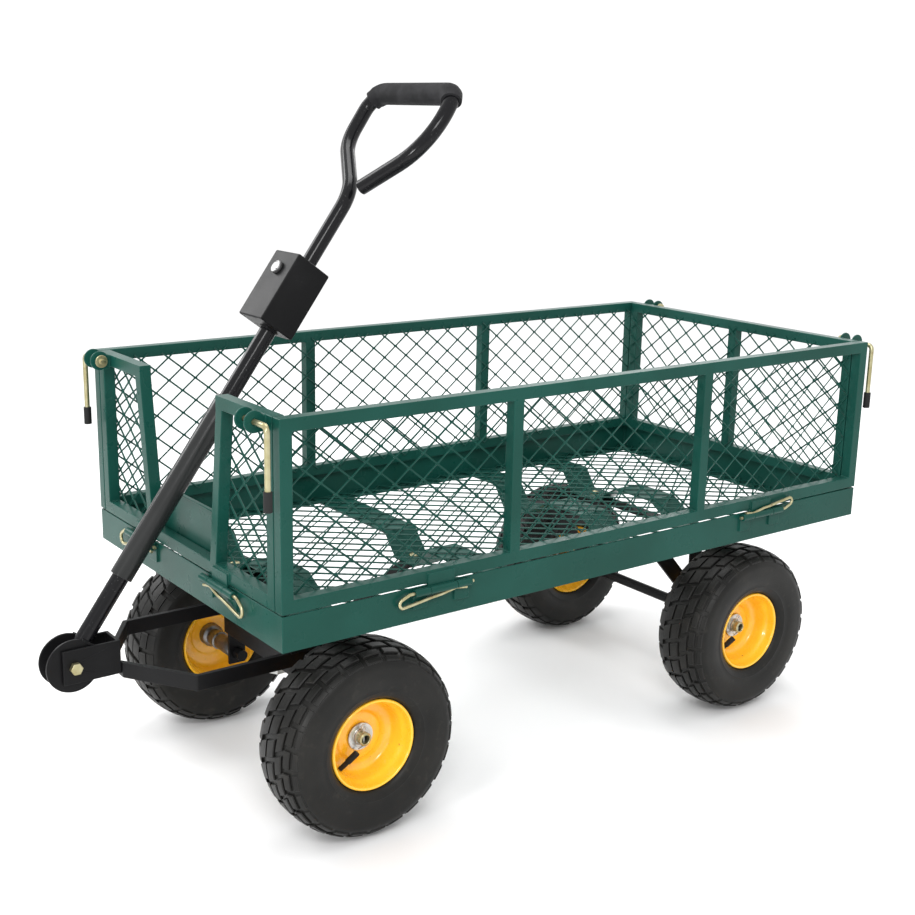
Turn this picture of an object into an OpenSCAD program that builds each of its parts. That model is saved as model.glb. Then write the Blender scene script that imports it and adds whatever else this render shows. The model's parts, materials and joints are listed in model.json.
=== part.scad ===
// Tow behind garden cart: a steel mesh tray with four fold-down sides on four pneumatic wheels.
// +X points forwards to the tongue, +Y to the cart's left, +Z up. The ground is z = 0, and the
// origin is under the middle of the whole cart, with its handle leaning back at rest.

/* [Tray] */
// Length of the tray
tray_l = 1022; // [900:1:1200]
// Width across the side panels
tray_w = 520; // [480:1:620]
// Height of the tray's lower edge above the ground
tray_z = 286; // [280:1:320]
// Height of the tray's skirt
skirt_h = 44; // [36:1:60]
// Thickness of the folded sheet steel
sheet = 2.5; // [1.5:0.5:4]

/* [Sides and gates] */
// Width of the square tube in the sides and gates
rail = 16; // [12:1:22]
// Wall of that tube
rail_wall = 1.5; // [1:0.25:2.5]
// Height of the top rails above the ground
top_z = 560; // [500:1:640]
// Half width of the front gate's notch at its top
notch_top = 107; // [100:1:125]
// Half width of the front gate's notch at its foot
notch_low = 82; // [78:1:98]
// Spacing of the lattice bars that stand for the wire mesh
mesh_step = 80; // [60:5:160]

/* [Wheels] */
// Outer radius of the tyres
tyre_r = 127; // [110:1:140]
// Width of the tyres
tyre_w = 94; // [80:1:105]
// Distance between the middles of the left and right tyres
track = 408; // [390:1:460]
// Distance between the two axles
wheelbase = 685; // [600:1:760]
// Distance from the tray's front to the front axle
axle_back = 138; // [110:1:180]
// Radius of both axles
axle_r = 8; // [6:0.5:10]

/* [Handle] */
// Distance of the handle's pivot in front of the tray
pivot_x = 153; // [130:1:200]
// Height of the handle's pivot
pivot_z = 221; // [200:1:240]
// Angle of the handle above the horizontal, leaning back
lean = 54; // [50:1:62]
// Radius of the handle's tubes
tube_r = 11; // [9:0.5:13]
// Distance from the pivot to the middle of the grip
grip_s = 851; // [780:1:900]

/* [Hidden] */
$fn = 48;

green = [0.12, 0.34, 0.28];
black = [0.06, 0.06, 0.06];
matt = [0.12, 0.12, 0.12];
yellow = [0.93, 0.6, 0.12];
gold = [0.78, 0.7, 0.42];
steel = [0.7, 0.7, 0.72];

// Clearances: between parts that turn on each other, and between a bore and its pin
gap = 0.5;
running = 0.06;

// Latch: a bent pin through two round ears, hanging in front of the side panel's end post
pin_r = 3.5;
ear_r = 13;
ear_t = 3;
latch_out = 14;
latch_z = top_z - 7;
pin_bend = 7;
leg_drop = 93;
tip_l = 24;

// Tray and panel places
disc_r = 34;
tray_front = (tray_l + latch_out + ear_r - pivot_x - disc_r) / 2;
tray_back = tray_front - tray_l;
half_w = tray_w / 2;
skirt_top = tray_z + skirt_h;
low_z = skirt_top + 2;
bay_low = low_z + rail;
bay_top = top_z - rail;
lip = 20;
mesh_t = 3;
side_in = half_w - rail;
gate_half = side_in - 1.5;
post_at = [0, 330, 668, tray_l - rail];

// Hinges: three knuckles on a clip's straight leg, outside the skirt and just below its top
hinge_out = 6;
hinge_z = skirt_top - 5;
knuckle_r = 5;
wire_r = 2;
leaf_t = 3;
knuckle_l = [22, 40, 22];
barrel_l = knuckle_l[0] + knuckle_l[1] + knuckle_l[2] + 2 * gap;
side_hinge = 290;
gate_hinge = 112;

// Wheels
front_x = tray_front - axle_back;
rear_x = front_x - wheelbase;
bead_r = 56;
hub_in = 126;
hub_out = 209;
axle_end = 223;
bracket_y = 118;
bracket_t = 4;
bracket_w = 26;
stub_y = 102;

// Chassis heights
strap_t = 3;
strap_w = 54;
strap_drop = 31;
strap_x = [front_x, tray_front - 373, tray_front - 673, rear_x];
// Half outlines of the straps, from the middle outwards as [distance, 1 where pressed down]
two_dips = [[40, 0], [93, 1], [148, 1], [172, 0]];
one_dip = [[22, 1], [50, 0]];
bar_half = 150;
bar_t = 5;
arm_z = 195;
arm_h = 20;
arm_t = 7;
arm_y = 109;
plate_t = 6;
boss_low = arm_z + arm_h + plate_t + gap;
carrier_top = tray_z + sheet - strap_drop;
carrier_low = carrier_top - bar_t;
pin_low = 147;
rest_w = 172;

// Handle
handle_x = tray_front + pivot_x;
clevis_back = handle_x - 59;
bolt_r = 6;
disc_t = 3.5;
cheek_y = 16;
cheek_t = 4;
sleeve_r = 14.5;
sleeve_s = [121, 380];
box_s = [484, 581];
box_n = [-20, 34];
box_y = 30;
box_wall = 3;
hitch_s = 556;
hitch_r = 5;
loop_r = 10;
grip_y = [-61, 69];
grip_r = 14.5;

// ---- Helpers ----

// Closed square tube from one corner, with its size along each axis
module tube(size) {
  wall = [rail_wall, rail_wall, rail_wall];
  difference() {
    cube(size);
    translate(wall) cube(size - 2 * wall);
  }
}

// Cylinder along Y between two stations
module rod_y(x, z, y0, y1, r) {
  translate([x, y0, z]) rotate([-90, 0, 0]) cylinder(h = y1 - y0, r = r);
}

// Cylinder between two points
module rod(a, b, r) {
  d = b - a;
  l = norm(d);
  translate(a) rotate([0, acos(d[2] / l), atan2(d[1], d[0])]) cylinder(h = l, r = r);
}

// Round bar through a list of points, with a larger ball at each bend
module bent_bar(points, r) {
  for (i = [1 : len(points) - 1]) rod(points[i - 1], points[i], r);
  for (i = [1 : len(points) - 2]) translate(points[i]) sphere(r = 1.2 * r);
}

// Flat bar between two places in plan, centred on its line
module flat_bar(a, b, width) {
  d = b - a;
  translate(a) rotate(atan2(d[1], d[0])) translate([0, -width / 2]) square([norm(d), width]);
}

// Copy at the cart's left and its right
module both_sides() {
  children();
  mirror([0, 1, 0]) children();
}

// Diamond lattice that fills an outline lying in w by h, with a solid border along its edge
module lattice(w, h) {
  reach = w + h;
  n = ceil(reach / mesh_step);
  intersection() {
    children();
    union() {
      for (turn = [45, -45], i = [-n : n])
        translate([w / 2, h / 2]) rotate(turn) translate([-reach, i * mesh_step - 4]) square([2 * reach, 8]);
      difference() {
        children();
        translate([6, 6]) square([w - 12, h - 12]);
      }
    }
  }
}

// One hinge knuckle with its leaf. The pin runs along X at the origin, and the leaf's back is a given
// distance towards -Y from it.
module knuckle(x0, l, back, leaf_low, leaf_high) {
  difference() {
    union() {
      translate([x0, 0, 0]) rotate([0, 90, 0]) cylinder(h = l, r = knuckle_r);
      translate([x0, -back, leaf_low]) cube([l, leaf_t, leaf_high - leaf_low]);
    }
    translate([x0 - 1, 0, 0]) rotate([0, 90, 0]) cylinder(h = l + 2, r = wire_r + running);
  }
}

// Outer knuckles, fixed to the skirt, which lies a clearance inside the sides
module bed_knuckles() {
  knuckle(-barrel_l / 2, knuckle_l[0], hinge_out + gap, -22, 0);
  knuckle(barrel_l / 2 - knuckle_l[2], knuckle_l[2], hinge_out + gap, -22, 0);
}

// Middle knuckle, fixed to a side's or gate's lower rail
module panel_knuckle() {
  knuckle(-knuckle_l[1] / 2, knuckle_l[1], hinge_out, 0, 20);
}

// Wire clip: its straight leg is the hinge pin, and its wavy leg lies beside the barrel
module clip() {
  end = barrel_l / 2;
  bent_bar([[-end - 6, 0, 0], [end + 12, 0, 0], [end + 20, 0, -4], [end + 20, 0, -12],
    [end + 12, 0, -16], [16, 0, -10], [-14, 0, -15], [-end + 6, 0, -10]], wire_r);
}

// Places the hinges of one side, with X along the hinge and Y pointing outwards
module at_side_hinge(along) {
  translate([(tray_front + tray_back) / 2 + along, half_w + hinge_out, hinge_z]) children();
}

module at_front_hinge(across) {
  translate([tray_front + hinge_out, across, hinge_z]) rotate(-90) children();
}

module at_back_hinge(across) {
  translate([tray_back - hinge_out, across, hinge_z]) rotate(90) children();
}

// ---- Tray ----

module bed_frame() color(green) {
  inset = [gap, gap];
  translate([tray_back, -half_w, tray_z]) {
    linear_extrude(height = skirt_h) difference() {
      translate(inset) square([tray_l, tray_w] - 2 * inset);
      translate(inset + [sheet, sheet]) square([tray_l, tray_w] - 2 * inset - 2 * [sheet, sheet]);
    }
    linear_extrude(height = sheet) difference() {
      translate(inset) square([tray_l, tray_w] - 2 * inset);
      translate([lip, lip]) square([tray_l, tray_w] - 2 * [lip, lip]);
    }
  }
  both_sides() {
    at_side_hinge(side_hinge) bed_knuckles();
    at_side_hinge(-side_hinge) bed_knuckles();
    at_front_hinge(gate_hinge) bed_knuckles();
    at_back_hinge(gate_hinge) bed_knuckles();
  }
}

module floor_mesh() color(green) {
  edge = gap + sheet;
  size = [tray_l, tray_w] - 2 * [edge, edge];
  translate([tray_back + edge, -half_w + edge, tray_z + sheet + strap_t])
    linear_extrude(height = mesh_t) lattice(size[0], size[1]) square(size);
}

// Strap across the tray under the mesh, pressed down where its half outline says so
module strap(half) {
  side = concat(half, [[half_w - gap - sheet, 0]]);
  line = concat([for (i = [len(side) - 1 : -1 : 0]) [-side[i][0], side[i][1]]], side);
  upper = [for (p = line) [p[0], strap_t - strap_drop * p[1]]];
  rotate([90, 0, 90]) linear_extrude(height = strap_w, center = true)
    polygon(concat(upper, [for (i = [len(upper) - 1 : -1 : 0]) upper[i] - [0, strap_t]]));
}

module floor_straps() color(green) {
  for (i = [0 : 3]) translate([strap_x[i], 0, tray_z + sheet]) strap(i == 1 ? one_dip : two_dips);
}

// Bar under the front strap with the upper ring of the turntable, and a brace that runs from the second
// strap down to the foot of the kingpin
module front_carrier() color(black) {
  difference() {
    union() {
      translate([front_x - strap_w / 2, -bar_half, carrier_low]) cube([strap_w, 2 * bar_half, bar_t]);
      translate([front_x, 0, boss_low]) cylinder(h = carrier_low - boss_low, r = 42);
    }
    translate([front_x, 0, boss_low - 1]) cylinder(h = 40, r = axle_r);
  }
  difference() {
    translate([0, 12, 0]) rotate([90, 0, 0]) linear_extrude(height = 24) {
      back = strap_x[1] - strap_w / 2;
      front = strap_x[1] + strap_w / 2;
      upper = [[back, carrier_top], [front, carrier_top], [front_x - 22, pin_low + bar_t],
        [front_x + 16, pin_low + bar_t]];
      polygon(concat(upper, [for (i = [3 : -1 : 0]) upper[i] - [0, bar_t]]));
    }
    translate([front_x, 0, pin_low - 1]) cylinder(h = 20, r = axle_r);
  }
}

module kingpin() color(steel) {
  translate([front_x, 0, pin_low]) cylinder(h = carrier_top - pin_low, r = axle_r);
  translate([front_x, 0, carrier_top]) cylinder(h = 7, r = 13, $fn = 6);
  translate([front_x, 0, pin_low - 7]) cylinder(h = 7, r = 13, $fn = 6);
}

// Sheet behind the front gate's lower rail that the leaning handle comes to rest over
module handle_rest() color(green) {
  top = low_z + 72;
  back = tray_front - rail - 4;
  translate([back, -rest_w / 2, skirt_top]) cube([sheet, rest_w, top - skirt_top]);
  translate([back, 6 - rest_w / 2, top - sheet]) cube([5, rest_w - 12, sheet]);
  translate([back, -rest_w / 2, skirt_top]) cube([tray_front - gap - sheet - back, rest_w, 1.5]);
}

// ---- Rear axle ----

module bracket(x, top) {
  difference() {
    translate([x - bracket_w / 2, bracket_y, tyre_r - 16]) cube([bracket_w, bracket_t, top - tyre_r + 16]);
    rod_y(x, tyre_r, bracket_y - 1, bracket_y + bracket_t + 1, axle_r);
  }
}

// The brackets hang from a bar under the rear strap
module rear_brackets() color(black) {
  both_sides() bracket(rear_x, carrier_low);
  translate([rear_x - bracket_w / 2, -bar_half, carrier_low]) cube([bracket_w, 2 * bar_half, bar_t]);
}

// Diagonal brace on the outside of each rear bracket, with a foot that runs on under the third strap
module rear_struts() color(black) both_sides() {
  out = bracket_y + bracket_t;
  translate([rear_x, out + bar_t, 0]) rotate([90, 0, 0]) linear_extrude(height = bar_t) intersection() {
    flat_bar([6, 150], [140, 296], 25);
    translate([-20, 0]) square([200, carrier_low + 1]);
  }
  translate([rear_x + 84, out - 4, carrier_low]) cube([94, 25, bar_t]);
}

// Both ends of an axle, each from a given distance beside the middle, with a washer and a pin
module axle(x, inner) both_sides() {
  rod_y(x, tyre_r, inner, axle_end, axle_r);
  rod_y(x, tyre_r, hub_out + 1, hub_out + 3, 14);
  rod([x, hub_out + 7, tyre_r - 12], [x, hub_out + 7, tyre_r + 12], 1.5);
}

// The rear axle is one rod from side to side
module rear_axle() color(black) axle(rear_x, -1);

// ---- Steering ----

// The front axle is a stub in each bracket
module front_axle() color(black) axle(front_x, stub_y);

module turntable() color(black) difference() {
  translate([front_x - 45, -arm_y - 9, arm_z + arm_h]) cube([90, 2 * (arm_y + 9), plate_t]);
  translate([front_x, 0, arm_z]) cylinder(h = 60, r = axle_r + running);
}

module front_beam() color(black) {
  difference() {
    translate([front_x - 20, -bracket_y, arm_z - 32]) cube([40, 2 * bracket_y, 32]);
    translate([front_x, 0, arm_z - 60]) cylinder(h = 90, r = axle_r + running);
    translate([front_x - 17, -bracket_y + 3, arm_z - 29]) cube([34, bracket_y - 20, 26]);
    translate([front_x - 17, 17, arm_z - 29]) cube([34, bracket_y - 20, 26]);
  }
  both_sides() bracket(front_x, arm_z);
}

module tongue_arms() color(black) translate([0, 0, arm_z]) linear_extrude(height = arm_h) both_sides() {
  start = [clevis_back + 6, 8];
  bend = [tray_front + 34, arm_y];
  tail = [front_x - 30, arm_y];
  difference() {
    flat_bar(start, bend, arm_t);
    translate([clevis_back, 0]) square([40, 60]);
  }
  translate(bend) circle(r = arm_t / 2);
  flat_bar(bend, tail, arm_t);
}

module tongue_clevis() color(black) difference() {
  union() {
    both_sides() translate([clevis_back, cheek_y, pivot_z - 21]) cube([74, cheek_t, 44]);
    translate([clevis_back, -cheek_y - cheek_t, pivot_z - 21]) cube([cheek_t, 2 * (cheek_y + cheek_t), 44]);
  }
  rod_y(handle_x, pivot_z, -40, 40, bolt_r);
}

module tongue_bolt() color(gold) {
  out = cheek_y + cheek_t;
  rod_y(handle_x, pivot_z, -out - 10, out + 2, bolt_r);
  translate([handle_x, out, pivot_z]) rotate([-90, 0, 0]) cylinder(h = 7, r = 8, $fn = 6);
  translate([handle_x, -out - 8, pivot_z]) rotate([-90, 0, 0]) cylinder(h = 8, r = 8, $fn = 6);
}

// ---- Handle: local Z runs up the shaft from the pivot, and local X points forwards ----

module leaning() {
  translate([handle_x, 0, pivot_z]) rotate([0, lean - 90, 0]) children();
}

module handle_foot() color(black) leaning() difference() {
  union() {
    both_sides() rod_y(0, 0, tube_r, tube_r + disc_t, disc_r);
    rod_y(0, 0, -tube_r, tube_r, tube_r);
  }
  rod_y(0, 0, -30, 30, bolt_r + running);
}

module handle_shaft() color(black) leaning() difference() {
  translate([0, 0, tube_r]) cylinder(h = box_s[0] - tube_r, r = tube_r);
  translate([0, 0, tube_r + 6]) cylinder(h = box_s[0] - tube_r - 12, r = tube_r - 2);
}

module handle_sleeve() color(matt) leaning() difference() {
  translate([0, 0, sleeve_s[0]]) cylinder(h = sleeve_s[1] - sleeve_s[0], r = sleeve_r);
  translate([0, 0, sleeve_s[0] - 1]) cylinder(h = sleeve_s[1] - sleeve_s[0] + 2, r = tube_r);
}

module hitch_box() color(black) leaning() {
  size = [box_n[1] - box_n[0], 2 * box_y, box_s[1] - box_s[0]];
  wall = [box_wall, box_wall, box_wall];
  difference() {
    translate([box_n[0], -box_y, box_s[0]]) cube(size);
    translate([box_n[0], -box_y, box_s[0]] + wall) cube(size - 2 * wall);
    translate([0, 0, box_s[1] - 10]) cylinder(h = 20, r = tube_r);
    translate([box_n[0] - 1, 0, hitch_s]) rotate([0, 90, 0]) cylinder(h = size[0] + 2, r = hitch_r);
  }
}

module hitch_pin() color(gold) leaning() translate([0, 0, hitch_s]) rotate([0, 90, 0]) {
  translate([0, 0, box_n[0] - 9]) cylinder(h = box_n[1] - box_n[0] + 9, r = hitch_r);
  translate([0, 0, box_n[1]]) cylinder(h = 5, r = 9);
  translate([0, 0, box_n[0] - 7]) cylinder(h = 7, r = 9, $fn = 6);
}

// One bar bent round into a lopsided loop, whose free end comes back to just beside the shaft
module handle_loop() color(black) leaning() difference() {
  bent_bar([[0, 0, 530], [0, 0, 697], [0, -80, 775], [0, -84, grip_s - 16], [0, -68, grip_s],
    [0, 76, grip_s], [0, 104, grip_s - 18], [0, 110, 795], [0, 16, 706]], loop_r);
  translate([-20, 0, hitch_s]) rotate([0, 90, 0]) cylinder(h = 40, r = hitch_r);
}

module handle_grip() color(matt) leaning() difference() {
  rod_y(0, grip_s, grip_y[0], grip_y[1], grip_r);
  rod_y(0, grip_s, grip_y[0] - 1, grip_y[1] + 1, loop_r);
}

// ---- Wheels: each is made about its own middle, with Y pointing outwards ----

module at_wheel(x, side) {
  translate([x, side * track / 2, tyre_r]) mirror([0, side < 0 ? 1 : 0, 0]) children();
}

// Turns a profile of [radius, y] about the wheel's axis
module wheel_turn(profile) {
  rotate([-90, 0, 0]) rotate_extrude($fn = 96) polygon(profile);
}

// Outline of the tyre, or of the air inside it, with squarish shoulders
module tyre_outline(r, h, foot_r) {
  mid = (tyre_r + bead_r) / 2 + 6;
  crown = [for (a = [0 : 15 : 180]) [mid + (r - mid) * pow(sin(a), 0.55), h * cos(a)]];
  wheel_turn(concat([[foot_r, h * 0.62]], crown, [[foot_r, -h * 0.62]]));
}

module tyre() color(matt) difference() {
  tyre_outline(tyre_r, tyre_w / 2, bead_r);
  tyre_outline(tyre_r - 11, tyre_w / 2 - 7, bead_r + 7);
}

// The rim's dish is shallow, and its middle lies almost flush with the wheel's
module rim() color(yellow) difference() {
  out = 38;
  wheel_turn([[bead_r + 3.5, out], [bead_r - 1, out - 4], [bead_r - 1, out - 10], [51.5, 21], [49.5, 10],
    [46, 3], [42, 0.5], [34, 0.5], [31, 3], [17, 3], [17, 0], [30, 0], [33, -2.5], [43, -2.5], [47, -6],
    [49.5, -12], [51.5, -21], [bead_r - 1, -out + 10], [bead_r - 1, -out + 4], [bead_r + 3.5, -out],
    [bead_r + 3.5, -out + 2], [bead_r, -out + 6], [bead_r, out - 6], [bead_r + 3.5, out - 2]]);
  at_valve() valve_stem();
}

module hub() color(steel) {
  inner = hub_in - track / 2;
  outer = hub_out - track / 2;
  wheel_turn([[axle_r + running, inner], [16.9, inner], [16.9, outer], [axle_r + running, outer]]);
}

// The valve comes out of the dish's wall and leans in towards the hub
module at_valve() {
  rotate([0, 50, 0]) translate([bead_r - 10, 7, 0]) rotate([-90, 0, 69]) children();
}

module valve_stem() {
  translate([0, 0, -5]) cylinder(h = 17, r = 3.2);
}

module valve() color(matt) at_valve() {
  valve_stem();
  translate([0, 0, 12]) cylinder(h = 17, r = 4.2);
}

// ---- Sides: the left one, mirrored for the right ----

module side_frame() color(green) {
  for (at = post_at) {
    whole = at == post_at[0] || at == post_at[3];
    translate([tray_front - at - rail, side_in, whole ? low_z : bay_low])
      tube([rail, rail, whole ? top_z - low_z : bay_top - bay_low]);
  }
  for (z = [low_z, bay_top])
    translate([tray_back + rail, side_in, z]) tube([tray_l - 2 * rail, rail, rail]);
  for (along = [side_hinge, -side_hinge]) at_side_hinge(along) panel_knuckle();
}

module side_mesh() color(green) {
  w = tray_l - 2 * rail - 4;
  h = bay_top - bay_low + 10;
  translate([tray_back + rail + 2, side_in, bay_low - 5])
    rotate([90, 0, 0]) linear_extrude(height = mesh_t) lattice(w, h) square([w, h]);
}

// The rear clip's wavy leg lies up against the side, so it turns with the side
module side_clip() color(gold) at_side_hinge(-side_hinge) rotate([180, 0, 180]) clip();

// ---- Gates: drawn with X along the gate and Y pointing outwards ----

module ears() {
  difference() {
    for (y = [gate_half - 38, gate_half - 16]) translate([y, 0, latch_z]) {
      translate([0, latch_out, 0]) rotate([0, 90, 0]) cylinder(h = ear_t, r = ear_r);
      translate([0, 0, -12]) cube([ear_t, latch_out, 19]);
    }
    translate([0, latch_out, latch_z]) rotate([0, 90, 0]) cylinder(h = 300, r = pin_r + running);
  }
}

module gate_posts() {
  for (x = [-gate_half, gate_half - rail]) translate([x, -rail, low_z]) tube([rail, rail, top_z - low_z]);
  translate([-gate_half + rail, -rail, low_z]) tube([2 * (gate_half - rail), rail, rail]);
  for (s = [0, 1]) mirror([s, 0, 0]) {
    ears();
    translate([gate_hinge, hinge_out, hinge_z]) panel_knuckle();
  }
}

// Leaning post of the notch, as an outline in the gate's plane
module notch_post() {
  polygon([[notch_low, bay_low], [notch_low + rail, bay_low], [notch_top + rail, bay_top],
    [notch_top, bay_top]]);
}

module front_gate_frame() color(green) translate([tray_front, 0, 0]) rotate(-90) {
  gate_posts();
  for (s = [0, 1]) mirror([s, 0, 0]) {
    rotate([90, 0, 0]) linear_extrude(height = rail) notch_post();
    translate([notch_top, -rail, bay_top]) tube([gate_half - rail - notch_top, rail, rail]);
  }
}

module front_gate_mesh() color(green) translate([tray_front, 0, 0]) rotate(-90) {
  w = 2 * gate_half;
  h = bay_top - bay_low + 10;
  for (s = [0, 1]) mirror([s, 0, 0])
    translate([-gate_half, -rail, bay_low - 5]) rotate([90, 0, 0]) linear_extrude(height = mesh_t)
      intersection() {
        translate([gate_half + 96, 0]) square([gate_half - 101, h]);
        union() {
          lattice(w, h) square([w, h]);
          translate([gate_half + 96, 0]) square([6, 150]);
          translate([gate_half, 5 - bay_low]) translate([2, 0]) notch_post();
        }
        translate([gate_half, 0]) polygon([[notch_low + 6, 0], [gate_half - 5, 0], [gate_half - 5, h],
          [notch_top + 6, h]]);
      }
}

module rear_gate_frame() color(green) translate([tray_back, 0, 0]) rotate(90) {
  gate_posts();
  translate([-gate_half + rail, -rail, bay_top]) tube([2 * (gate_half - rail), rail, rail]);
  translate([-rail / 2, -rail, bay_low]) tube([rail, rail, bay_top - bay_low]);
}

module rear_gate_mesh() color(green) translate([tray_back, 0, 0]) rotate(90) {
  w = 2 * gate_half - 10;
  h = bay_top - bay_low + 10;
  translate([-w / 2, -rail, bay_low - 5]) rotate([90, 0, 0]) linear_extrude(height = mesh_t)
    lattice(w, h) square([w, h]);
}

// ---- Hinge clips and latch pins ----

module hinge_clips() color(gold) both_sides() {
  at_side_hinge(side_hinge) clip();
  at_front_hinge(gate_hinge) rotate([0, 0, 180]) clip();
  at_back_hinge(gate_hinge) clip();
}

// Front left corner; the other three are its mirror images
module latch_pin() {
  inner = gate_half - 50;
  leg_y = side_in + 13;
  translate([tray_front + latch_out, 0, latch_z]) {
    rod_y(0, 0, inner, leg_y - pin_bend, pin_r);
    rod_y(0, 0, inner + 5, inner + 8, 8.5);
    translate([0, leg_y - pin_bend, -pin_bend]) rotate([0, -90, 0]) rotate_extrude(angle = 90)
      translate([pin_bend, 0]) circle(r = pin_r);
    translate([0, leg_y, -leg_drop]) cylinder(h = leg_drop - pin_bend, r = pin_r);
  }
}

module latch_tip() {
  leg_y = side_in + 13;
  translate([tray_front + latch_out, leg_y, latch_z - leg_drop - 4]) difference() {
    cylinder(h = tip_l, r = 5.2);
    translate([0, 0, 4]) cylinder(h = tip_l, r = pin_r);
  }
}

// Moves a piece of the front left corner to the tray's rear
module to_rear() {
  translate([tray_front + tray_back, 0, 0]) mirror([1, 0, 0]) children();
}

module to_right() {
  mirror([0, 1, 0]) children();
}

bed_frame();
floor_mesh();
floor_straps();
front_carrier();
kingpin();
handle_rest();
rear_brackets();
rear_struts();
rear_axle();
hinge_clips();
turntable();
front_beam();
front_axle();
tongue_arms();
tongue_clevis();
tongue_bolt();
handle_foot();
handle_shaft();
handle_sleeve();
hitch_box();
hitch_pin();
handle_loop();
handle_grip();
at_wheel(front_x, 1) tyre();  // tyre_front_left
at_wheel(front_x, -1) tyre();  // tyre_front_right
at_wheel(rear_x, 1) tyre();  // tyre_rear_left
at_wheel(rear_x, -1) tyre();  // tyre_rear_right
at_wheel(front_x, 1) rim();  // rim_front_left
at_wheel(front_x, -1) rim();  // rim_front_right
at_wheel(rear_x, 1) rim();  // rim_rear_left
at_wheel(rear_x, -1) rim();  // rim_rear_right
at_wheel(front_x, 1) hub();  // hub_front_left
at_wheel(front_x, -1) hub();  // hub_front_right
at_wheel(rear_x, 1) hub();  // hub_rear_left
at_wheel(rear_x, -1) hub();  // hub_rear_right
at_wheel(front_x, 1) valve();  // valve_front_left
at_wheel(front_x, -1) valve();  // valve_front_right
at_wheel(rear_x, 1) valve();  // valve_rear_left
at_wheel(rear_x, -1) valve();  // valve_rear_right
side_frame();  // left_side_frame
side_mesh();  // left_side_mesh
side_clip();  // left_side_clip
to_right() side_frame();  // right_side_frame
to_right() side_mesh();  // right_side_mesh
to_right() side_clip();  // right_side_clip
front_gate_frame();
front_gate_mesh();
rear_gate_frame();
rear_gate_mesh();
color(gold) latch_pin();  // latch_pin_front_left
color(gold) to_right() latch_pin();  // latch_pin_front_right
color(gold) to_rear() latch_pin();  // latch_pin_rear_left
color(gold) to_right() to_rear() latch_pin();  // latch_pin_rear_right
color(matt) latch_tip();  // latch_tip_front_left
color(matt) to_right() latch_tip();  // latch_tip_front_right
color(matt) to_rear() latch_tip();  // latch_tip_rear_left
color(matt) to_right() to_rear() latch_tip();  // latch_tip_rear_right
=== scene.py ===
"""Looks for the tow behind garden cart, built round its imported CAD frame.

Everything is in metres in the frame's own axes: +X forwards to the tongue, +Y to the cart's left, +Z up.
"""

import json
import math
import random

import bmesh
import bpy
from mathutils import Matrix, Vector


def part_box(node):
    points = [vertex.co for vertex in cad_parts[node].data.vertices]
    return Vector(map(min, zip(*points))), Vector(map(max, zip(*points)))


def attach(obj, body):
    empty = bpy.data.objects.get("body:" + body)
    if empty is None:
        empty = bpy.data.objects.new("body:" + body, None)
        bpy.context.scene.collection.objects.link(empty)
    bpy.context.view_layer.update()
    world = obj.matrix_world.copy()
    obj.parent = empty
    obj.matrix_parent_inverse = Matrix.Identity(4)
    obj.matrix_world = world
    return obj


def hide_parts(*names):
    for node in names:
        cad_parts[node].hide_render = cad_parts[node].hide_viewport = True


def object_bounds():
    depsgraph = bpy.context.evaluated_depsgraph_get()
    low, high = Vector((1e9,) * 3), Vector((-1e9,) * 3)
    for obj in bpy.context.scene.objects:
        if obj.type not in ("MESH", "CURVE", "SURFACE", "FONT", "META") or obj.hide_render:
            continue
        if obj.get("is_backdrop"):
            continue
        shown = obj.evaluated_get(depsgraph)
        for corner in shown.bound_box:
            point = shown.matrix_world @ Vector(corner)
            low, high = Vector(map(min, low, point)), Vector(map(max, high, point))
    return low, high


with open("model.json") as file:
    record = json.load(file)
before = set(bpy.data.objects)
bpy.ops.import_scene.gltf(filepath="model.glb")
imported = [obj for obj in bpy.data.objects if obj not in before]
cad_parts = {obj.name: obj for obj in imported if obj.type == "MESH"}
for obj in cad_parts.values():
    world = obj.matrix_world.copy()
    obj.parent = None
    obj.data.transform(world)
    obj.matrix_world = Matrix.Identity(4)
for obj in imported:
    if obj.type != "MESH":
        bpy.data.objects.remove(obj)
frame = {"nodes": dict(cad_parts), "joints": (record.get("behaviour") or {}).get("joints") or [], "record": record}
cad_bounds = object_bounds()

MM = 0.001
NODES = frame["nodes"]
JOINTS = {joint["name"]: joint for joint in frame["joints"]}
WHEELS = ("front_left", "front_right", "rear_left", "rear_right")
UP = Vector((0, 0, 1))


def pivot(joint):
    return Vector(JOINTS[joint]["pos_m"])


# ---- Camera, light and floor ----

CAMERA_FROM_TRAY_FRONT = Vector((0.7109, 1.5304, 0.8899))
CAMERA_AZIMUTH = 36.909
CAMERA_ELEVATION = 14.318
CAMERA_ROLL = 1.198
CAMERA_LENS = 53.51
HINGE_OUT = 6 * MM
TRAY_FRONT = pivot("front_gate_fold").x - HINGE_OUT
TRAY_BACK = pivot("rear_gate_fold").x + HINGE_OUT


def add_camera():
    """A camera that looks backwards and to the cart's right, from above the near front wheel."""
    azimuth, elevation = math.radians(CAMERA_AZIMUTH), math.radians(CAMERA_ELEVATION)
    forward = Vector((
        -math.cos(elevation) * math.sin(azimuth),
        -math.cos(elevation) * math.cos(azimuth),
        -math.sin(elevation),
    ))
    level_right = forward.cross(UP).normalized()
    level_down = forward.cross(level_right).normalized()
    c, s = math.cos(math.radians(CAMERA_ROLL)), math.sin(math.radians(CAMERA_ROLL))
    right = level_right * c - level_down * s
    down = level_right * s + level_down * c
    data = bpy.data.cameras.new("camera")
    data.lens, data.sensor_width = CAMERA_LENS, 36
    data.clip_start, data.clip_end = 0.05, 50
    camera = bpy.data.objects.new("camera", data)
    axes = Matrix((right, -down, -forward)).transposed().to_4x4()
    place = Vector((TRAY_FRONT, 0, 0)) + CAMERA_FROM_TRAY_FRONT
    camera.matrix_world = Matrix.Translation(place) @ axes
    bpy.context.scene.collection.objects.link(camera)
    bpy.context.scene.camera = camera


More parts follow.
